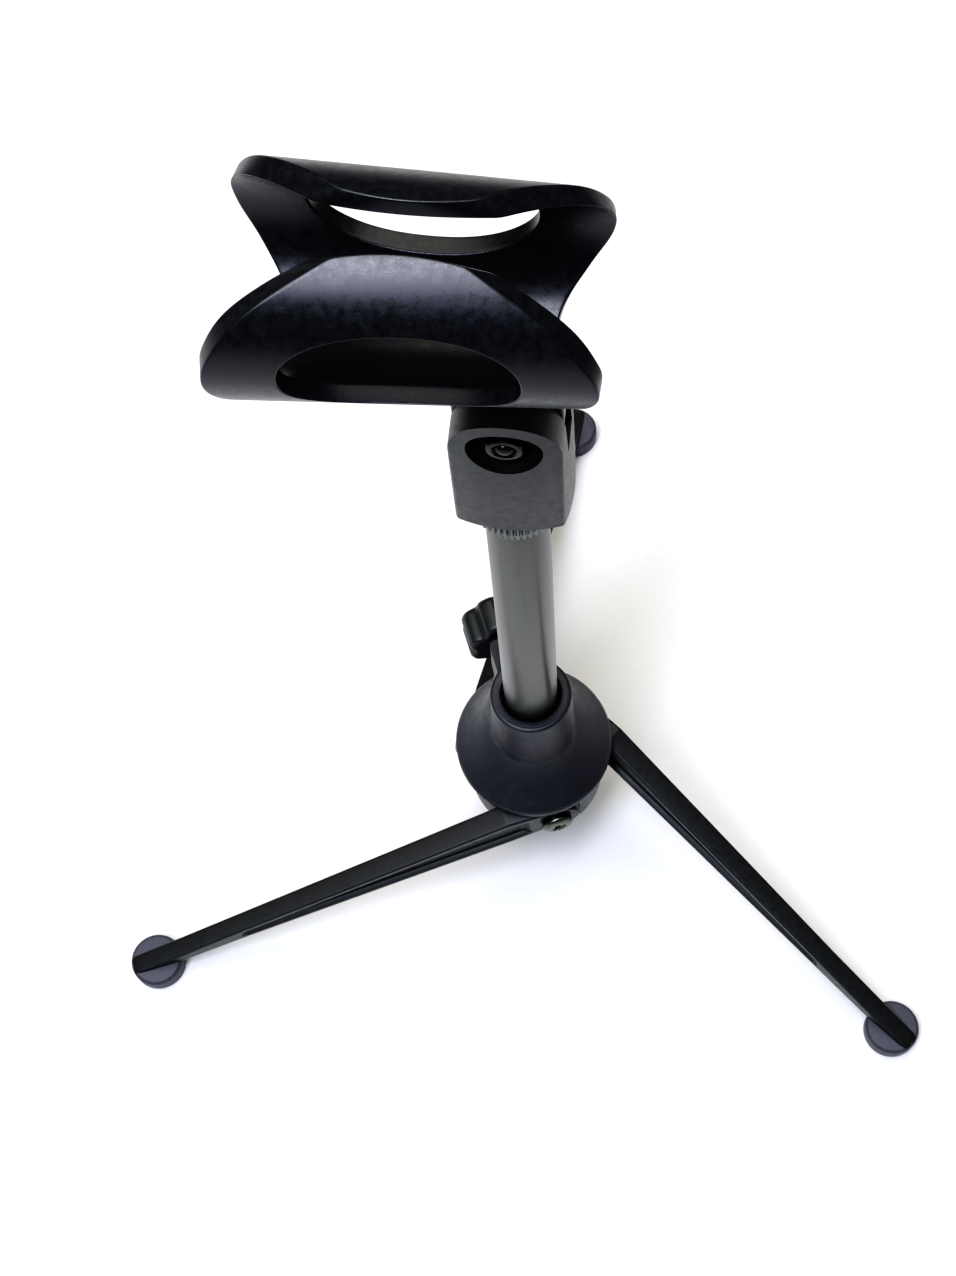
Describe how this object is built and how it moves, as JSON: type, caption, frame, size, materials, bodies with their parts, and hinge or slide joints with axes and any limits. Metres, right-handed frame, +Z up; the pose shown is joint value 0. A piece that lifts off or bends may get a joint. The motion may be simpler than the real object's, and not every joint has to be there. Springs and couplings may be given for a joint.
{
  "type": "tabletop microphone stand",
  "caption": "Small folding tripod stand for a desk: a short sliding mast clamped by a thumb screw, topped by a tilting open-topped microphone clip.",
  "frame": {"origin": "on the table, at the middle of the stand's footprint box; the mast axis is 35.15 mm from it towards -Y", "axes": "+Z up along the mast; +X along the microphone clip towards its narrow end; +Y towards the back leg"},
  "size_m": [0.2607, 0.228, 0.3429],
  "materials": {
    "moulded_clip": "satin with a fine speckle",
    "moulded_base": "satin",
    "hub_plastic": "matte",
    "leg_plastic": "satin",
    "knob_plastic": "satin",
    "foot_rubber": "matte",
    "mast_paint": "satin metallic",
    "screw_steel": "polished",
    "insert_brass": "turned",
    "pad_nylon": "matte"
  },
  "bodies": {
    "hub": {"hub_body": "hub_plastic", "hub_cover": "hub_plastic", "cover_screw_1": "screw_steel", "cover_screw_2": "screw_steel", "cover_screw_3": "screw_steel", "clamp_insert": "insert_brass", "leg_insert_back": "insert_brass", "leg_washer_back": "screw_steel", "leg_screw_back": "screw_steel", "leg_insert_left": "insert_brass", "leg_washer_left": "screw_steel", "leg_screw_left": "screw_steel", "leg_insert_right": "insert_brass", "leg_washer_right": "screw_steel", "leg_screw_right": "screw_steel"},
    "leg_back": {"leg_back": "leg_plastic", "foot_back": "foot_rubber"},
    "leg_left": {"leg_left": "leg_plastic", "foot_left": "foot_rubber"},
    "leg_right": {"leg_right": "leg_plastic", "foot_right": "foot_rubber"},
    "mast": {"mast_tube": "mast_paint", "mast_end_plug": "knob_plastic", "mast_stud": "screw_steel"},
    "lock_ring": {"lock_ring": "screw_steel"},
    "clip_base": {"clip_base": "moulded_base", "thread_insert": "insert_brass", "tilt_screw": "screw_steel", "tilt_washer": "screw_steel", "tilt_nut": "screw_steel"},
    "mic_clip": {"mic_clip": "moulded_clip"},
    "clamp_knob": {"clamp_knob": "knob_plastic", "clamp_screw": "screw_steel"},
    "clamp_pad": {"clamp_pad": "pad_nylon"}
  },
  "joints": [
    {"name": "leg_fold_back", "type": "hinge", "parent": "hub", "child": "leg_back", "pos_m": [-0.01863, -0.03264, 0.0444], "axis": [-0.991, 0.1337, 0], "range_deg": [0, 74]},
    {"name": "leg_fold_left", "type": "hinge", "parent": "hub", "child": "leg_left", "pos_m": [0.00714, -0.05254, 0.0444], "axis": [0.3797, -0.9251, 0], "range_deg": [0, 74]},
    {"name": "leg_fold_right", "type": "hinge", "parent": "hub", "child": "leg_right", "pos_m": [0.01149, -0.02027, 0.0444], "axis": [0.6113, 0.7914, 0], "range_deg": [0, 74]},
    {"name": "mast_slide", "type": "slide", "parent": "hub", "child": "mast", "axis": [0, 0, 1], "range_m": [-0.128, 0]},
    {"name": "lock_ring_turn", "type": "hinge", "parent": "mast", "child": "lock_ring", "pos_m": [0, -0.03515, 0.234], "axis": [0, 0, 1], "range_deg": [-360, 0]},
    {"name": "head_swivel", "type": "hinge", "parent": "mast", "child": "clip_base", "pos_m": [0, -0.03515, 0.25], "axis": [0, 0, 1], "range_deg": [-180, 180]},
    {"name": "clip_tilt", "type": "hinge", "parent": "clip_base", "child": "mic_clip", "pos_m": [0, -0.03515, 0.276], "axis": [0, 1, 0], "range_deg": [-90, 90]},
    {"name": "clamp_knob_turn", "type": "hinge", "parent": "clamp_pad", "child": "clamp_knob", "pos_m": [-0.00827, -0.01519, 0.09], "axis": [-0.3827, 0.9239, 0], "range_deg": [0, 720]},
    {"name": "clamp_travel", "type": "slide", "parent": "hub", "child": "clamp_pad", "axis": [-0.3827, 0.9239, 0], "range_m": [0, 0.002]}
  ],
  "couplings": [
    {"joint": "clamp_knob_turn", "follows": "clamp_travel", "rad_per_m": 6283.2}
  ]
}
